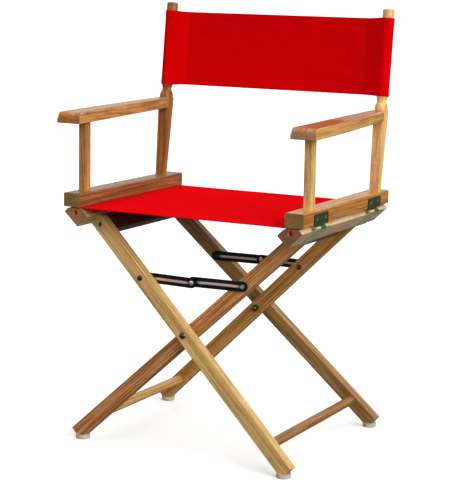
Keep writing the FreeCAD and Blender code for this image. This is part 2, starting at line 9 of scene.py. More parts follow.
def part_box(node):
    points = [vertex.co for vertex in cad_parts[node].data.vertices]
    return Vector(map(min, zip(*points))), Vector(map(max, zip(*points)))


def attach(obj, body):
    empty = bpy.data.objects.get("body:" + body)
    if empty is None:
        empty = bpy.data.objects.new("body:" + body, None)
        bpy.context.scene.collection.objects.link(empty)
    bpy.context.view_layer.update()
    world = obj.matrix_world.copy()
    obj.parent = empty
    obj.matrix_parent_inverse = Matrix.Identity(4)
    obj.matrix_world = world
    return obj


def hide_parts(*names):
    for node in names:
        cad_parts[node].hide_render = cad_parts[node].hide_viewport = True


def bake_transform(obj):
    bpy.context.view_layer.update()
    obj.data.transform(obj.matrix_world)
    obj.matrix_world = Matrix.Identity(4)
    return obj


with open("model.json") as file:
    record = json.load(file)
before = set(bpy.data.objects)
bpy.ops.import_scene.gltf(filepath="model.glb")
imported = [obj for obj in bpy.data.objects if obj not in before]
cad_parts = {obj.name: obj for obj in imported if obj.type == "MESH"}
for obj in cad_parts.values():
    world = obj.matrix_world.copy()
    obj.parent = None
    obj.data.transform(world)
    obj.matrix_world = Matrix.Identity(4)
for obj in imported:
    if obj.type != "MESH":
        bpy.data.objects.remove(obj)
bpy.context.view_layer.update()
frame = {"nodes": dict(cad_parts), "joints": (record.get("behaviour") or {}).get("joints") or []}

# Folding director chair, in metres: X to the right, the sitter faces -Y, Z up.
MM = 0.001

# studio: how bright the room is all round, and how much brighter to the right and behind
WORLD_LEVEL, WORLD_RIGHT, WORLD_BACK, WORLD_BASE = 0.72, 0.20, 0.06, 0.14
HORIZON = 12.0               # how sharply the room brightens above the horizon
FLOOR_REACH, FLOOR_GLOW = 120.0, 0.22

# cloth
CLOTH = 1.2 * MM             # thickness of the canvas
HEM = 13.0 * MM              # width of the turned edges
HEM_RISE = 0.45 * MM         # how much a turned edge stands proud, each face
STITCH_IN = 9.5 * MM         # stitch line from the edge
STITCH, STITCH_GAP, STITCH_R = 3.0 * MM, 1.1 * MM, 0.38 * MM
GRID = 3.2 * MM              # spacing of a cloth's points
EDGE_REACH, EDGE_STEP = 2.4 * MM, 0.45 * MM      # the finer points near its edges and sewing

# the seat's hem in the rail's slot
LOOP_FIT = 0.12 * MM         # between the dowel and the cloth round it
NECK = 0.72 * MM             # half the distance between the two layers in the slot's mouth
NECK_DROP = 0.6 * MM         # from the loop to where its layers run straight
INNER_LAYER = 4.5 * MM       # how high the turned-in layer reaches inside the slot
BEND = 1.1 * MM              # radius over the slot's lip
PINCH, PINCH_REACH = 0.62, 5 * MM

# the back's sleeve
SEAM = 44 * MM               # from the dowel's middle to the sleeve's stitching
TAIL = SEAM + 6 * MM         # and to the raw edge behind it
LAYER_GAP = CLOTH / 2 + 0.03 * MM


# ---------------------------------------------------------------- node graphs
class Graph:
    """A short way to write a material's nodes."""

    def __init__(self, name):
        self.material = bpy.data.materials.new(name)
        self.material.use_nodes = True
        self.tree = self.material.node_tree
        self.tree.nodes.clear()
        self.out = self.tree.nodes.new("ShaderNodeOutputMaterial")

    def node(self, kind, links=(), **settings):
        made = self.tree.nodes.new("ShaderNode" + kind)
        for key, value in settings.items():
            setattr(made, key, value)
        for key, value in dict(links).items():
            self.plug(made, key, value)
        return made

    def plug(self, node, key, value):
        if isinstance(value, bpy.types.NodeSocket):
            self.tree.links.new(value, node.inputs[key])
        else:
            node.inputs[key].default_value = value

    def math(self, operation, a, b=0.0, clamp=False):
        return self.node("Math", {0: a, 1: b}, operation=operation, use_clamp=clamp).outputs[0]

    def dot(self, vector, direction):
        made = self.node("VectorMath", {0: vector, 1: tuple(direction)}, operation="DOT_PRODUCT")
        return made.outputs["Value"]

    def combine(self, x, y, z=0.0):
        return self.node("CombineXYZ", {0: x, 1: y, 2: z}).outputs[0]

    def scale(self, vector, factors):
        return self.node("VectorMath", {0: vector, 1: tuple(factors)}, operation="MULTIPLY").outputs[0]

    def shift(self, vector, by):
        return self.node("VectorMath", {0: vector, 1: tuple(by)}, operation="ADD").outputs[0]

    def noise(self, vector, detail=2.0, rough=0.5, scale=1.0):
        settings = {"Vector": vector, "Scale": scale, "Detail": detail, "Roughness": rough}
        return self.node("TexNoise", settings).outputs[0]

    def ramp(self, value, *stops):
        made = self.node("ValToRGB", {0: value})
        points = made.color_ramp.elements
        points[0].position, points[1].position = stops[0][0], stops[-1][0]
        for place, _ in stops[1:-1]:
            points.new(place)
        for point, (_, level) in zip(points, stops):
            point.color = (level, level, level, 1)
        return made.outputs[0]

    def mix(self, share, a, b, blend="MIX"):
        made = self.node("Mix", data_type="RGBA", blend_type=blend)
        self.plug(made, 0, share)
        self.plug(made, 6, a if isinstance(a, bpy.types.NodeSocket) else (*a, 1))
        self.plug(made, 7, b if isinstance(b, bpy.types.NodeSocket) else (*b, 1))
        return made.outputs[2]

    def bump(self, height, distance, strength=1.0):
        made = self.node("Bump", {"Height": height, "Distance": distance, "Strength": strength})
        return made.outputs[0]

    def finish(self, **inputs):
        shader = self.node("BsdfPrincipled")
        for key, value in inputs.items():
            self.plug(shader, key.replace("_", " "), value)
        self.tree.links.new(shader.outputs[0], self.out.inputs[0])
        return self.material


def paint(piece, material):
    """Put one material on a piece, or on a CAD node's own slots."""
    if piece.material_slots:
        for place in piece.material_slots:
            place.material = material
    else:
        piece.data.materials.append(material)


# ---------------------------------------------------------------- wood
def board_axes(piece):
    """The middle of a board and its long, wide and thin directions, from its own mesh."""
    faces = piece.data.polygons
    middles = np.array([f.center for f in faces])
    areas = np.array([f.area for f in faces])
    middle = (middles * areas[:, None]).sum(0) / areas.sum()
    spread = ((middles - middle) * areas[:, None]).T @ (middles - middle)
    axes = np.linalg.eigh(spread)[1].T[::-1]
    return middle, axes


def wood(piece, number, pale, dark, end, top=(1, 1, 1), rings=5.2 * MM, gloss=0.42):
    """Stained, lacquered hardwood whose rings and pores run along the board, darker across its ends.

    The upper faces are multiplied by top: painted light, standing in for the highlight, shade and reflection
    that fall on them.
    """
    middle, (long, wide, thin) = board_axes(piece)
    luck = np.random.default_rng(400 + number)
    heart = luck.uniform(0.035, 0.075), luck.uniform(0.012, 0.04)
    place = luck.uniform(-5, 5, 3)
    g = Graph("wood_" + piece.name)
    coordinates = g.node("TexCoord").outputs
    point = g.shift(coordinates["Object"], -middle)
    a, b, c = g.dot(point, long), g.dot(point, wide), g.dot(point, thin)
    board = g.combine(a, b, c)
    wander = g.noise(g.shift(g.scale(board, (3.4, 18, 18)), place), 3.0)
    ripple = g.noise(g.shift(g.scale(board, (14, 90, 90)), place), 2.0)
    away = g.math("SQRT", g.math("ADD", g.math("POWER", g.math("ADD", b, heart[0]), 2.0),
                                 g.math("POWER", g.math("ADD", c, heart[1]), 2.0)))
    away = g.math("ADD", away, g.math("MULTIPLY", wander, 0.016))
    away = g.math("ADD", away, g.math("MULTIPLY", ripple, 0.0016))
    year = g.math("FRACT", g.math("DIVIDE", away, rings))
    ring = g.ramp(year, (0, .05), (.5, .22), (.84, 1), (.93, .85), (1, .05))
    fibre = g.noise(g.shift(g.scale(board, (24, 700, 700)), place), 3.0, 0.65)
    streak = g.noise(g.shift(g.scale(board, (6, 260, 260)), place), 2.0)
    pores = g.ramp(g.noise(g.scale(board, (110, 1500, 1500)), 1.0), (.58, 0), (.66, 1))
    pores = g.math("MULTIPLY", pores, g.math("SUBTRACT", 1.15, ring, clamp=True))
    patch = g.noise(g.shift(g.scale(board, (5, 26, 26)), place), 2.0)
    tone = g.math("MULTIPLY", ring, 0.48)
    tone = g.math("ADD", tone, g.math("MULTIPLY", g.ramp(streak, (.45, 0), (.58, 1)), 0.52))
    tone = g.math("ADD", tone, g.math("MULTIPLY", g.ramp(fibre, (.42, 0), (.62, 1)), 0.30), clamp=True)
    colour = g.mix(tone, pale, dark)
    colour = g.mix(g.math("MULTIPLY", pores, 0.62), colour, [0.4 * x for x in dark])
    across = g.math("ABSOLUTE", g.dot(coordinates["Normal"], long))
    colour = g.mix(g.ramp(across, (.72, 0), (.95, 1)), colour, g.mix(tone, end, [0.62 * x for x in end]))
    warm = g.mix(g.ramp(patch, (.3, 0), (.7, 1)), (0.84, 0.80, 0.76), (1.10, 1.10, 1.08))
    colour = g.mix(1.0, colour, warm, "MULTIPLY")
    # painted light: the faces that look up are multiplied by top, the painted highlight, shade and
    # reflection set board by board
    painted_top_light = g.ramp(g.dot(coordinates["Normal"], (0, 0, 1)), (.6, 0), (.95, 1))
    colour = g.mix(painted_top_light, colour, g.mix(1.0, colour, top, "MULTIPLY"))
    sunk = g.math("ADD", g.math("MULTIPLY", ring, 0.2), pores)
    height = g.math("SUBTRACT", g.math("MULTIPLY", fibre, 0.35), sunk)
    rough = g.math("ADD", gloss, g.math("MULTIPLY", g.math("ADD", fibre, pores), 0.10))
    paint(piece, g.finish(
        Base_Color=colour, Roughness=rough, Normal=g.bump(height, 0.16 * MM, 0.5),
        Coat_Weight=0.36, Coat_Roughness=0.07, Coat_IOR=1.40, Specular_IOR_Level=0.12))


# each node's tone: the pale wood, its darker grain, and the stain that the ends drink up; a fourth value
# tints the upper faces. The tones are painted light: lit and shaded copies of one wood, painted lighter or
# darker by how the light falls at each place.
LIT_AND_SHADED_WOODS = {
    "leg_outer_front": ((0.88, 0.59, 0.235), (0.43, 0.25, 0.08), (0.28, 0.17, 0.06)),
    # painted shade: this leg stands in the seat's shadow, so its wood is painted darker
    "leg_outer_rear": ((0.50, 0.29, 0.10), (0.17, 0.074, 0.018), (0.18, 0.12, 0.05)),
    "leg_inner_front": ((0.68, 0.33, 0.115), (0.24, 0.082, 0.020), (0.24, 0.14, 0.05)),
    "leg_inner_rear": ((0.78, 0.42, 0.12), (0.34, 0.13, 0.026), (0.22, 0.14, 0.05)),
    "stretcher_inner": ((0.82, 0.48, 0.16), (0.42, 0.20, 0.052), (0.19, 0.14, 0.062)),
    "stretcher_outer": ((0.38, 0.19, 0.045), (0.16, 0.062, 0.012), (0.19, 0.14, 0.062)),
    # painted shade: the seat rails' upper faces are painted darker
    "seat_rail_left": ((0.70, 0.43, 0.20), (0.33, 0.17, 0.07), (0.40, 0.19, 0.08), (0.6, 0.58, 0.56)),
    "seat_rail_right": ((0.86, 0.60, 0.34), (0.48, 0.30, 0.155), (0.26, 0.13, 0.06), (0.55, 0.58, 0.6)),
    # painted shade: the apron is painted almost black, the shadow under the seat
    "apron": ((0.12, 0.046, 0.024), (0.05, 0.018, 0.009), (0.1, 0.05, 0.02)),
    # painted highlight: the base rails' upper faces are painted lighter; the left rail is painted darker
    # than the right
    "base_rail_left": ((0.33, 0.13, 0.038), (0.135, 0.043, 0.011), (0.285, 0.175, 0.05), (1.25, 1.4, 1.5)),
    "base_rail_right": ((0.54, 0.23, 0.045), (0.23, 0.072, 0.010), (0.285, 0.175, 0.05), (1.6, 2.0, 2.5)),
    # painted light: each left post is painted darker and each right post lighter, as the light comes from
    # the right
    "front_post_left": ((0.58, 0.30, 0.085), (0.27, 0.115, 0.024), (0.3, 0.18, 0.06)),
    "front_post_right": ((0.88, 0.57, 0.215), (0.46, 0.25, 0.078), (0.3, 0.18, 0.06)),
    "rear_post_left": ((0.42, 0.165, 0.036), (0.18, 0.055, 0.009), (0.3, 0.18, 0.06)),
    "rear_post_right": ((0.95, 0.61, 0.25), (0.62, 0.33, 0.11), (0.3, 0.18, 0.06)),
    # painted reflection: its upper face is tinted paler and cooler, the room mirrored in the lacquer
    "armrest_left": ((0.62, 0.32, 0.10), (0.29, 0.115, 0.027), (0.49, 0.165, 0.034), (1.0, 1.05, 1.1)),
    # painted reflection: its upper face is tinted red, the back's canvas mirrored in the lacquer; its ends
    # are painted lighter as a highlight
    "armrest_right": ((0.70, 0.39, 0.115), (0.35, 0.155, 0.032), (0.46, 0.27, 0.145), (0.84, 0.50, 0.46)),
    "seat_dowel": ((0.74, 0.56, 0.34), (0.52, 0.34, 0.17), (0.5, 0.36, 0.2)),
}


def wood_parts():
    """Each wooden node with its own board, in a tone painted lighter or darker by how light falls at its
    place.
    """
    for number, (name, piece) in enumerate(sorted(frame["nodes"].items())):
        for start, tone in LIT_AND_SHADED_WOODS.items():
            if name.startswith(start):
                wood(piece, number, *tone)


# ---------------------------------------------------------------- metal and plastic
def metal(name, colour, rough, worn, metallic=1.0):
    """Plated metal with fine marks, dull patches and worn high spots."""
    g = Graph(name)
    point = g.node("TexCoord").outputs["Object"]
    fine = g.noise(g.scale(point, (2200, 2200, 2200)), 2.0)
    marks = g.noise(g.scale(point, (1500, 160, 1500)), 3.0, 0.7)
    patch = g.noise(g.scale(point, (90, 90, 90)), 3.0)
    wear = g.ramp(patch, (.52, 0), (.72, 1))
    tint = g.mix(g.math("MULTIPLY", wear, 0.6), colour, worn)
    roughness = g.math("ADD", rough, g.math("MULTIPLY", g.math("SUBTRACT", marks, 0.5), 0.22))
    height = g.math("ADD", g.math("MULTIPLY", fine, 0.5), marks)
    return g.finish(
        Base_Color=tint, Metallic=metallic, Roughness=roughness, Normal=g.bump(height, 0.02 * MM, 0.5))


def link_steel(piece):
    """Black nickel with a painted highlight: a bright pinkish band painted along the raised bead in the
    middle of the strip, fading out before its dark ends.
    """
    middle, (long, wide, _) = board_axes(piece)
    reach = max(abs((v.co - Vector(middle)).dot(Vector(long))) for v in piece.data.vertices)
    g = Graph("link_steel_" + piece.name)
    point = g.shift(g.node("TexCoord").outputs["Object"], -middle)
    marks = g.noise(g.scale(point, (1500, 160, 1500)), 3.0, 0.7)
    from_middle = g.math("ABSOLUTE", g.math("ADD", g.dot(point, wide), g.math("MULTIPLY", marks, 0.6 * MM)))
    painted_highlight = g.ramp(g.math("DIVIDE", from_middle, 10 * MM), (0, 1), (.19, .9), (.29, 0), (1, 0))
    from_end = g.math("SUBTRACT", reach, g.math("ABSOLUTE", g.dot(point, long)))
    painted_highlight = g.math("MULTIPLY", painted_highlight, g.ramp(g.math("DIVIDE", from_end, 100 * MM), (.14, 0), (.24, 1)))
    # painted highlight: the band's pale pink stands for the light and the red canvas mirrored in the bead
    tint = g.mix(painted_highlight, (0.014, 0.013, 0.009), (0.95, 0.68, 0.63))
    roughness = g.math("ADD", 0.20, g.math("MULTIPLY", marks, 0.22))
    paint(piece, g.finish(
        Base_Color=tint, Metallic=0.8, Roughness=roughness, Normal=g.bump(marks, 0.02 * MM, 0.5)))


def nylon():
    """Milky nylon with a faintly mottled, scuffed skin."""
    g = Graph("milky_nylon")
    point = g.node("TexCoord").outputs["Object"]
    cloud = g.noise(g.scale(point, (120, 120, 120)), 3.0)
    scuff = g.noise(g.scale(point, (900, 900, 900)), 3.0, 0.7)
    colour = g.mix(cloud, (0.44, 0.42, 0.31), (0.68, 0.66, 0.54))
    return g.finish(
        Base_Color=colour, Roughness=g.math("ADD", 0.3, g.math("MULTIPLY", scuff, 0.25)),
        Subsurface_Weight=0.35, Subsurface_Radius=(0.004, 0.004, 0.003), Subsurface_Scale=1.0,
        Transmission_Weight=0.15, Normal=g.bump(scuff, 0.05 * MM, 0.4))


def hard_parts():
    bronze = metal("bronze_hinge", (0.030, 0.046, 0.009), 0.36, (0.075, 0.095, 0.022), 0.45)
    leaf = metal("grey_hinge_leaf", (0.46, 0.50, 0.27), 0.42, (0.54, 0.56, 0.34), 0.35)
    zinc = metal("bright_zinc", (0.88, 0.86, 0.80), 0.18, (0.62, 0.60, 0.53))
    dark = metal("dark_bolt", (0.065, 0.060, 0.050), 0.16, (0.24, 0.22, 0.18), 0.9)
    brass = metal("old_brass", (0.085, 0.072, 0.024), 0.30, (0.20, 0.17, 0.075), 0.8)
    finishes = {
        "hinge_upper": bronze, "hinge_lower": leaf, "hinge_screws": zinc, "link_rivet": zinc,
        "link_bolt": dark, "link_bolt_inner_front": zinc, "pivot_bolt": dark, "pivot_nut": brass,
        "rail_bolts": brass, "post_screws": dark, "glide": nylon(),
    }
    for name, piece in frame["nodes"].items():
        for start, material in finishes.items():
            if name.startswith(start):
                paint(piece, material)
        if name.startswith(("link_outer", "link_inner")):
            link_steel(piece)


# ---------------------------------------------------------------- canvas
def canvas(name, colour, shade):
    """Heavy plain-woven cotton: over-and-under threads, slubs and a soft mottle. Reads UVs in metres."""
    g = Graph(name)
    uv = g.node("TexCoord").outputs["UV"]
    split = g.node("SeparateXYZ", {0: uv})
    u, v = split.outputs[0], split.outputs[1]
    pitch = 0.85 * MM
    across = g.math("SINE", g.math("MULTIPLY", u, math.pi / pitch))
    along = g.math("SINE", g.math("MULTIPLY", v, math.pi / pitch))
    over = g.math("MULTIPLY", across, along)
    warp = g.math("POWER", g.math("ABSOLUTE", across), 0.7)
    weft = g.math("POWER", g.math("ABSOLUTE", along), 0.7)
    up = g.math("GREATER_THAN", over, 0.0)
    under = g.math("SUBTRACT", 1.0, up)
    thread = g.math("ADD", g.math("MULTIPLY", up, warp), g.math("MULTIPLY", under, weft))
    slub_u = g.noise(g.combine(g.math("MULTIPLY", u, 45), g.math("MULTIPLY", v, 900)), 2.0)
    slub_v = g.noise(g.combine(g.math("MULTIPLY", u, 900), g.math("MULTIPLY", v, 45)), 2.0)
    slub = g.math("MULTIPLY", g.math("ADD", slub_u, slub_v), 0.5)
    mottle = g.noise(g.scale(uv, (28, 28, 28)), 4.0, 0.6)
    fuzz = g.noise(g.scale(uv, (2600, 2600, 2600)), 2.0)
    tone = g.math("ADD", g.math("MULTIPLY", g.ramp(slub, (.35, 0), (.65, 1)), 0.45),
                  g.math("MULTIPLY", g.ramp(mottle, (.3, 0), (.7, 1)), 0.30))
    # painted shade: where the threads dip, the weave is painted darker
    tone = g.math("ADD", tone, g.math("MULTIPLY", g.math("SUBTRACT", 1.0, thread), 0.40), clamp=True)
    lumps = g.math("ADD", g.math("MULTIPLY", slub, 0.5), g.math("MULTIPLY", fuzz, 0.25))
    height = g.math("ADD", thread, lumps)
    return g.finish(
        Base_Color=g.mix(tone, colour, shade),
        Roughness=g.math("ADD", 0.78, g.math("MULTIPLY", fuzz, 0.18)), Specular_IOR_Level=0.0,
        Sheen_Weight=0.05, Sheen_Tint=(1.0, 0.03, 0.03, 1), Sheen_Roughness=0.6,
        Normal=g.bump(height, 0.16 * MM, 0.7))


def thread_material(name, colour):
    """Twisted sewing thread."""
    g = Graph(name)
    point = g.node("TexCoord").outputs["Object"]
    twist = g.noise(g.scale(point, (1800, 1800, 1800)), 2.0)
    tint = g.mix(twist, [0.55 * x for x in colour], colour)
    return g.finish(
        Base_Color=tint, Roughness=0.55, Specular_IOR_Level=0.15, Normal=g.bump(twist, 0.1 * MM, 0.6))


def link_mesh(name, points, faces, uv=None, sharp=35):
    mesh = bpy.data.meshes.new(name)
    mesh.from_pydata([tuple(p) for p in points], [], [tuple(int(i) for i in f) for f in faces])
    mesh.validate()
    if uv is not None:
        layer = mesh.uv_layers.new(name="metres")
        corners = np.zeros(len(mesh.loops), int)
        mesh.loops.foreach_get("vertex_index", corners)
        layer.data.foreach_set("uv", np.asarray(uv, np.float32)[corners].ravel())
    mesh.shade_smooth()
    mesh.set_sharp_from_angle(angle=math.radians(sharp))
    piece = bpy.data.objects.new(name, mesh)
    bpy.context.scene.collection.objects.link(piece)
    return piece


def cloth_mesh(name, middle, normal, half, uv):
    """A closed slab of cloth from a grid of mid-surface points, their normals and half thicknesses."""
    rows, columns = half.shape
    top = middle + normal * half[..., None]
    under = middle - normal * half[..., None]
    count = rows * columns
    points = np.concatenate([top.reshape(-1, 3), under.reshape(-1, 3)])
    index = np.arange(count).reshape(rows, columns)
    a, b, c, d = index[:-1, :-1], index[1:, :-1], index[1:, 1:], index[:-1, 1:]
    upper = np.stack([a, b, c, d], -1).reshape(-1, 4)
    lower = upper[:, ::-1] + count
    rim = np.concatenate([index[:, 0], index[-1, 1:], index[-2::-1, -1], index[0, -2:0:-1]])
    after = np.roll(rim, -1)
    sides = np.stack([rim + count, after + count, after, rim], -1)
    faces = np.concatenate([upper, lower, sides])
    return link_mesh(name, points, faces, np.concatenate([uv.reshape(-1, 2)] * 2))


def soft_step(x):
    x = np.clip(x, 0, 1)
    return x * x * (3 - 2 * x)


def spaced(low, high, step, fine=(), reach=4 * MM, fine_step=0.7 * MM):
    """Grid positions from low to high, closer together near the values in fine."""
    values = set(np.round(np.linspace(low, high, max(2, round((high - low) / step) + 1)), 7))
    for middle in fine:
        near = np.arange(max(low, middle - reach), min(high, middle + reach) + 1e-9, fine_step)
        values |= set(np.round(near, 7))
    values = np.array(sorted(values))
    keep = np.concatenate([[True], np.diff(values) > 0.25 * fine_step])
    keep[-1] = True
    return values[keep]


def hem_height(from_edge):
    """How much thicker the cloth is at a distance from its edge: a turned edge with a sewn channel."""
    fold = 1 - soft_step((from_edge - HEM) / (1.6 * MM))
    rounded = np.sqrt(np.clip(from_edge / (0.9 * MM), 0.05, 1))
    sewn = np.exp(-(((from_edge - STITCH_IN) / (0.9 * MM)) ** 2))
    return HEM_RISE * fold * (1 - 0.85 * sewn) + CLOTH / 2 * (rounded - 1) * (from_edge < 1 * MM)


def hem_lines(low, high):
    """The places across a cloth, edge to edge, where its section needs finer points."""
    return [low, high, low + STITCH_IN, high - STITCH_IN, low + HEM, high - HEM]


def stitches(path, normals, offset):
    """Short raised threads along a line of points, on the side the normals show."""
    lengths = np.concatenate([[0], np.cumsum(np.linalg.norm(np.diff(path, axis=0), axis=1))])

    def at(values, s):
        return np.array([np.interp(s, lengths, values[:, k]) for k in range(3)])

    rings = ((0.0, 0.35), (0.18, 0.85), (0.5, 1.0), (0.82, 0.85), (1.0, 0.35))
    sides = 6
    points, faces = [], []
    for start in np.arange(STITCH_GAP, lengths[-1] - STITCH, STITCH + STITCH_GAP):
        base = len(points)
        along = at(path, start + STITCH) - at(path, start)
        along /= np.linalg.norm(along)
        for share, size in rings:
            s = start + share * STITCH
            up = at(normals, s)
            side = np.cross(along, up)
            middle = at(path, s) + up * (offset + STITCH_R * (0.9 * size - 0.95))
            for k in range(sides):
                angle = 2 * math.pi * k / sides
                out = math.cos(angle) * side + 0.8 * math.sin(angle) * up
                points.append(middle + STITCH_R * size * out)
        for r in range(len(rings) - 1):
            for k in range(sides):
                i, j = base + r * sides + k, base + r * sides + (k + 1) % sides
                faces.append((i, j, j + sides, i + sides))
        faces.append(tuple(base + k for k in range(sides))[::-1])
        faces.append(tuple(base + (len(rings) - 1) * sides + k for k in range(sides)))
    return points, faces


def stitched(name, lines):
    """One piece for several lines of stitching: (path, normals, offset) each."""
    points, faces = [], []
    for path, normals, offset in lines:
        more, shape = stitches(path, normals, offset)
        faces += [tuple(i + len(points) for i in f) for f in shape]
        points += more
    return link_mesh(name, points, faces, sharp=80)


def for_side(sign, middle, normal, half, uv):
    """The left side's grid, or its mirror image with its rows reversed so that it still faces out."""
    if sign > 0:
        return middle, normal, half, uv
    flip = np.array([-1, 1, 1])
    return (middle * flip)[::-1], (normal * flip)[::-1], half[::-1], uv[::-1]


def along_path(path):
    """Distance along a line of points in a plane, and its unit tangents."""
    steps = np.linalg.norm(np.diff(path, axis=0), axis=1)
    tangent = np.gradient(path, axis=0)
    tangent /= np.linalg.norm(tangent, axis=1, keepdims=True)
    return np.concatenate([[0], np.cumsum(steps)]), tangent


# ---- seat
low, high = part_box("seat_canvas_left")
SEAT_Y0, SEAT_Y1, SEAT_Z = low.y, high.y, (low.z + high.z) / 2
HEM_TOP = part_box("seat_hem_left")[1].z
peg_low, peg_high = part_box("seat_dowel_left")
PEG_X, PEG_Z = (peg_low.x + peg_high.x) / 2, (peg_low.z + peg_high.z) / 2
PEG_R = (peg_high.z - peg_low.z) / 2
CREASE_X = next(j for j in frame["joints"] if j["name"] == "seat_left_crease")["pos_m"][0]
EDGE_X = CREASE_X - 0.6 * MM     # where the cloth leaves the base rail


def seat_middle(x, y):
    """Height of the seat's mid-surface: taut, with faint pulls from the rails that die out at the middle."""
    near_rail = np.exp(-((x - EDGE_X - 0.035) / 0.035) ** 2)
    pull = 0.22 * MM * np.sin(2 * math.pi * (y / 0.071 + 0.25 * np.cos(x * 9))) * near_rail
    pull += 0.14 * MM * np.sin(2 * math.pi * (y / 0.118 + 0.1))
    return SEAT_Z + pull * soft_step((x - EDGE_X) / 0.08) * soft_step(-x / 0.06)


def grid_normals(middle):
    across = np.gradient(middle, axis=0)
    along = np.gradient(middle, axis=1)
    normal = np.cross(across, along)
    return normal / np.linalg.norm(normal, axis=-1, keepdims=True)


def seat_half(side):
    """Half of the seat, from the base rail's edge to the middle, and its two lines of stitching."""
    sign = 1 if side == "left" else -1
    xs = spaced(EDGE_X, 0.0, GRID, (EDGE_X + 1.5 * MM,), 2.5 * MM, 0.4 * MM)
    ys = spaced(SEAT_Y0, SEAT_Y1, GRID, hem_lines(SEAT_Y0, SEAT_Y1), EDGE_REACH, EDGE_STEP)
    x, y = np.meshgrid(xs, ys, indexing="ij")
    slack = 1.2 * MM * (1 - (x / EDGE_X) ** 2)
    edge = np.where(y < 0, 1, -1) * slack * np.abs(y / SEAT_Y1) ** 6
    middle = np.stack([x, y + edge, seat_middle(x, y)], -1)
    from_edge = np.minimum(y - SEAT_Y0, SEAT_Y1 - y)
    half = CLOTH / 2 + hem_height(from_edge)
    normal = grid_normals(middle)
    uv = np.stack([sign * x, y], -1)
    middle, normal, half, uv = for_side(sign, middle, normal, half, uv)
    piece = cloth_mesh("seat_cloth_" + side, middle, normal, half, uv)
    lines = []
    for place in (SEAT_Y0 + STITCH_IN, SEAT_Y1 - STITCH_IN):
        column = int(np.argmin(np.abs(ys - place)))
        for face in (1, -1):
            lines.append((middle[:, column], normal[:, column] * face, half[0, column]))
    sewing = stitched("seat_sewing_" + side, lines)
    return piece, sewing


def seat_loop(side):
    """The hem that holds the dowel in the rail's slot, out to the slot's mouth."""
    sign = 1 if side == "left" else -1
    r = PEG_R + LOOP_FIT + CLOTH / 2
    opening = math.asin(NECK / r)
    straight_from = PEG_Z + r + NECK_DROP
    path = [(PEG_X - NECK, HEM_TOP - 1.1 * MM - INNER_LAYER), (PEG_X - NECK, straight_from)]
    for angle in np.linspace(math.pi / 2 + opening, 5 * math.pi / 2 - opening, 28):
        path.append((PEG_X + r * math.cos(angle), PEG_Z + r * math.sin(angle)))
    path += [(PEG_X + NECK, straight_from), (PEG_X + NECK, SEAT_Z - BEND - 0.5 * MM)]
    for angle in np.linspace(math.pi, math.pi / 2, 6):
        path.append((PEG_X + NECK + BEND + BEND * math.cos(angle), SEAT_Z - BEND + BEND * math.sin(angle)))
    path = np.array(path)
    arc, tangent = along_path(path)
    ys = spaced(SEAT_Y0 - 1.5 * MM, SEAT_Y1 - 1.0 * MM, 6 * MM)
    flat_normal = np.stack([-tangent[:, 1], tangent[:, 0]], -1)
    middle = np.stack([np.stack([np.full(len(ys), px), ys, np.full(len(ys), pz)], -1) for px, pz in path])
    # past the dowel's ends the empty loop is pinched flat under the slot's mouth
    past = np.maximum(peg_low.y - ys, ys - peg_high.y) / PINCH_REACH
    pinch = 1 - PINCH * soft_step(past)
    round_peg = (path[:, 1] < PEG_Z + r + 0.1 * MM)[:, None]
    middle[..., 0] = np.where(round_peg, PEG_X + (middle[..., 0] - PEG_X) * pinch, middle[..., 0])
    normal = np.stack([np.tile((nx, 0, nz), (len(ys), 1)) for nx, nz in flat_normal])
    half = np.full(middle.shape[:2], CLOTH / 2)
    uv = np.stack(np.meshgrid(arc - arc[-1] + path[-1, 0], ys, indexing="ij"), -1)
    piece = cloth_mesh("seat_loop_" + side, *for_side(sign, middle, normal, half, uv))
    return piece, path[-1, 0]


def seat_strip(side, start_x):
    """The cloth between the slot's mouth and the base rail's inner edge."""
    sign = 1 if side == "left" else -1
    xs = np.linspace(start_x, EDGE_X, 13)
    ys = spaced(SEAT_Y0, SEAT_Y1, 6 * MM, (SEAT_Y0, SEAT_Y1), EDGE_REACH, EDGE_STEP)
    x, y = np.meshgrid(xs, ys, indexing="ij")
    middle = np.stack([x, y, np.full(x.shape, SEAT_Z)], -1)
    normal = np.zeros(middle.shape)
    normal[..., 2] = 1
    from_edge = np.minimum(y - SEAT_Y0, SEAT_Y1 - y)
    half = CLOTH / 2 + np.minimum(hem_height(from_edge), 0.3 * MM)
    uv = np.stack([sign * x, y], -1)
    return cloth_mesh("seat_strip_" + side, *for_side(sign, middle, normal, half, uv))


def seat():
    """The whole seat: on each side a loop in the rail, a strip over its lip and half of the cloth."""
    cloth = canvas("seat_canvas_red", (0.80, 0.0022, 0.0045), (0.60, 0.0012, 0.0030))
    thread = thread_material("seat_thread", (0.62, 0.004, 0.006))
    for side, sign, body in (("left", 1, "outer_frame"), ("right", -1, "inner_frame")):
        loop, mouth = seat_loop(side)
        strip = seat_strip(side, mouth)
        half, sewing = seat_half(side)
        for piece in (loop, strip, half):
            paint(piece, cloth)
        paint(sewing, thread)
        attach(loop, body)
        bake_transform(strip)
        for piece in (half, sewing):
            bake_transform(piece)
        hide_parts("seat_hem_" + side)
        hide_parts("seat_canvas_" + side)


# ---- back
joint = next(j for j in frame["joints"] if j["name"] == "back_left_crease")
FOOT, LEAN = Vector(joint["pos_m"]), Vector(joint["axis"]).normalized()
BEHIND = Vector((0, LEAN.z, -LEAN.y))
back_low, back_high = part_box("back_canvas_left")
SLEEVE_R = (FOOT.x - back_low.x) - 0.75 * MM     # middle of the sleeve's cloth
BACK_0 = (back_low.z - FOOT.z) / LEAN.z + SLEEVE_R * abs(LEAN.y)
BACK_1 = (back_high.z - FOOT.z) / LEAN.z - SLEEVE_R * abs(LEAN.y)
REACH = -FOOT.x                                  # dowel to the middle of the back


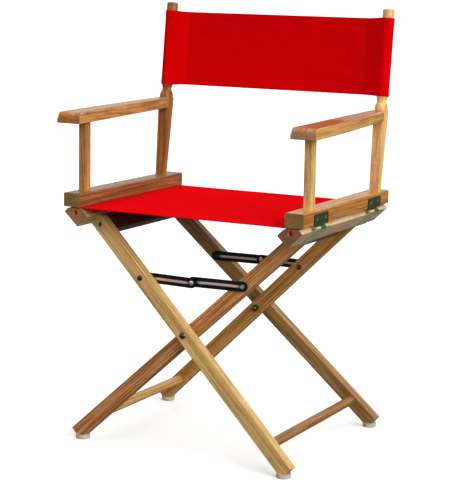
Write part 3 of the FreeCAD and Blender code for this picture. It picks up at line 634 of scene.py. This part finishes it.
def back_section():
    """One half seen from above, from its raw edge, round the dowel, to the middle: (across, behind)."""
    turn = math.asin(SLEEVE_R / math.hypot(SEAM, LAYER_GAP)) - math.atan2(LAYER_GAP, SEAM)
    touch = (SLEEVE_R * math.sin(turn), SLEEVE_R * math.cos(turn))
    section = [(s, LAYER_GAP) for s in np.linspace(TAIL, SEAM, 5)]
    for share in np.linspace(0, 1, 9)[1:]:
        section.append((SEAM + (touch[0] - SEAM) * share, LAYER_GAP + (touch[1] - LAYER_GAP) * share))
    for angle in np.linspace(math.pi / 2 - turn, 1.5 * math.pi + turn, 34)[1:-1]:
        section.append((SLEEVE_R * math.cos(angle), SLEEVE_R * math.sin(angle)))
    for share in np.linspace(0, 1, 9):
        section.append((touch[0] + (SEAM - touch[0]) * share, -touch[1] + (touch[1] - LAYER_GAP) * share))
    for s in np.arange(SEAM + 3 * MM, REACH, 3.4 * MM):
        section.append((s, -LAYER_GAP * (1 - soft_step((s - TAIL) / (20 * MM)))))
    section.append((REACH, 0.0))
    return np.array(section)


def back_surface(section, ts):
    """Where the cloth lies across, behind and up the dowel: drawn in between the posts, with faint waves."""
    share = (ts - BACK_0) / (BACK_1 - BACK_0)
    u = np.meshgrid(section[:, 0], ts, indexing="ij")[0]
    inner = soft_step((u - 6 * MM) / (30 * MM))
    draw_in = 1.3 * MM * inner * (1 - 2 * share)[None, :] * np.abs(1 - 2 * share)[None, :] ** 2
    ease = soft_step((u - SEAM) / 0.03)
    waves = 0.28 * MM * np.sin(2 * math.pi * (ts[None, :] / 0.083 + 0.12 + 0.2 * np.cos(u * 11)))
    near_seam = np.exp(-((u - SEAM - 0.03) / 0.03) ** 2)
    waves += 0.35 * MM * np.sin(2 * math.pi * ts[None, :] / 0.046) * near_seam
    depth = section[:, 1][:, None] + ease * waves * (1 - soft_step((u - REACH + 0.06) / 0.06) * 0.4)
    return u, depth, ts[None, :] + draw_in


def back_sewing(side, section, ts, middle, normal, half):
    """Both hems, on both faces, and the seam of the sleeve, in front and behind."""
    lines = []
    first = int(np.argmax(section[:, 0] < SEAM - 1 * MM))
    for place in (BACK_0 + STITCH_IN, BACK_1 - STITCH_IN):
        column = int(np.argmin(np.abs(ts - place)))
        for face in (1, -1):
            part = slice(len(section) - 60, None) if face < 0 else slice(first, None)
            lines.append((middle[part, column], normal[part, column] * face, half[0, column]))
    in_front = len(section) - 1 - int(np.argmin(np.abs(section[::-1, 0] - SEAM + 1.5 * MM)))
    behind = int(np.argmin(np.abs(section[:5, 0] - SEAM - 1.5 * MM)))
    for row in (in_front, behind):
        lines.append((middle[row], normal[row], half[row].mean()))
    return stitched("back_sewing_" + side, lines)


def back():
    """The whole back: each half of the cloth with its sleeve round the dowel, and its sewing."""
    cloth = canvas("back_canvas_red", (0.72, 0.0012, 0.0028), (0.54, 0.0008, 0.0018))
    thread = thread_material("back_thread", (0.56, 0.003, 0.005))
    section = back_section()
    arc, tangent = along_path(section)
    arc -= arc[-1]
    outward = np.stack([tangent[:, 1], -tangent[:, 0]], -1)
    ts = spaced(BACK_0, BACK_1, GRID, hem_lines(BACK_0, BACK_1), EDGE_REACH, EDGE_STEP)
    across, depth, tall = back_surface(section, ts)
    from_edge = np.minimum(ts - BACK_0, BACK_1 - ts)
    half = CLOTH / 2 + np.minimum(hem_height(from_edge), 0.35 * MM)
    half = np.broadcast_to(half[None, :], across.shape).copy()
    for side, sign in (("left", 1), ("right", -1)):
        foot = np.array(FOOT) * (sign, 1, 1)
        inward, rearward, along = np.array((sign, 0, 0)), np.array(BEHIND), np.array(LEAN)
        middle = foot + across[..., None] * inward + depth[..., None] * rearward + tall[..., None] * along
        normal = outward[:, None, 0, None] * inward + outward[:, None, 1, None] * rearward
        normal = np.broadcast_to(normal, middle.shape)
        uv = np.stack(np.meshgrid(sign * arc, ts, indexing="ij"), -1)
        order = slice(None, None, sign)
        piece = cloth_mesh("back_cloth_" + side, middle[order], normal[order], half[order], uv[order])
        sewing = back_sewing(side, section, ts, middle, normal, half)
        paint(piece, cloth)
        paint(sewing, thread)
        for each in (piece, sewing):
            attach(each, "back_" + side)
        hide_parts("back_canvas_" + side)


# ---------------------------------------------------------------- surroundings
def floor():
    mesh = bpy.data.meshes.new("floor")
    corners = [(x * FLOOR_REACH, y * FLOOR_REACH, 0) for x, y in ((-1, -1), (1, -1), (1, 1), (-1, 1))]
    mesh.from_pydata(corners, [], [(0, 1, 2, 3)])
    piece = bpy.data.objects.new("floor", mesh)
    bpy.context.scene.collection.objects.link(piece)
    g = Graph("pale_floor")
    paint(piece, g.finish(Base_Color=(0.95, 0.95, 0.945, 1), Roughness=0.9, Specular_IOR_Level=0.1,
                         Emission_Color=(1, 1, 1, 1), Emission_Strength=FLOOR_GLOW))
    piece.visible_diffuse = False     # its light is kept off the undersides
    piece.visible_glossy = False


def sun(name, towards_light, strength, angle):
    """A broad, distant soft box, seen in the direction given."""
    data = bpy.data.lights.new(name, "SUN")
    data.energy, data.angle = strength, math.radians(angle)
    lamp = bpy.data.objects.new(name, data)
    lamp.rotation_euler = Vector(towards_light).to_track_quat("Z", "Y").to_euler()
    bpy.context.scene.collection.objects.link(lamp)


def studio():
    """A white room, brighter overhead and to the right, over a dark base."""
    world = bpy.data.worlds.new("studio")
    world.use_nodes = True
    tree = world.node_tree
    coordinates = tree.nodes.new("ShaderNodeTexCoord")

    def brightness(operation, a, b, clamp=False):
        made = tree.nodes.new("ShaderNodeMath")
        made.operation, made.use_clamp = operation, clamp
        for socket, value in zip(made.inputs, (a, b)):
            if isinstance(value, float):
                socket.default_value = value
            else:
                tree.links.new(value, socket)
        return made.outputs[0]

    split = tree.nodes.new("ShaderNodeSeparateXYZ")
    tree.links.new(coordinates.outputs["Generated"], split.inputs[0])
    x, y, z = split.outputs
    room = brightness("ADD", WORLD_LEVEL, brightness("MULTIPLY", x, WORLD_RIGHT))
    room = brightness("ADD", room, brightness("MULTIPLY", y, WORLD_BACK))
    above = brightness("ADD", 0.5, brightness("MULTIPLY", z, HORIZON), clamp=True)
    level = brightness("ADD", WORLD_BASE, brightness("MULTIPLY", above, room))
    background = tree.nodes["Background"]
    background.inputs[0].default_value = (1, 1, 1, 1)
    tree.links.new(level, background.inputs[1])
    bpy.context.scene.world = world
    bpy.context.scene.view_settings.view_transform = "Standard"
    sun("key", (0.92, -0.38, 0.42), 2.15, 45)
    sun("top", (0.30, 0.30, 1.0), 0.40, 60)


def camera():
    """A long lens from the front and right, a little above the seat."""
    place = Vector((1.52182, -2.92349, 0.94840))
    forward = Vector((-0.45086884, 0.87610639, -0.170748)).normalized()
    roll = math.radians(1.05)
    level_right = forward.cross(Vector((0, 0, 1))).normalized()
    level_up = level_right.cross(forward)
    right = level_right * math.cos(roll) + level_up * math.sin(roll)
    up = level_up * math.cos(roll) - level_right * math.sin(roll)
    data = bpy.data.cameras.new("camera")
    data.sensor_width = 36.0
    data.lens = 120.82
    data.shift_x, data.shift_y = -0.0059, 0.0014
    shot = bpy.data.objects.new("camera", data)
    turn = Matrix((right, up, -forward)).transposed()
    shot.matrix_world = Matrix.Translation(place) @ turn.to_4x4()
    bpy.context.scene.collection.objects.link(shot)
    bpy.context.scene.camera = shot


wood_parts()
hard_parts()
seat()
back()
floor()
studio()
camera()
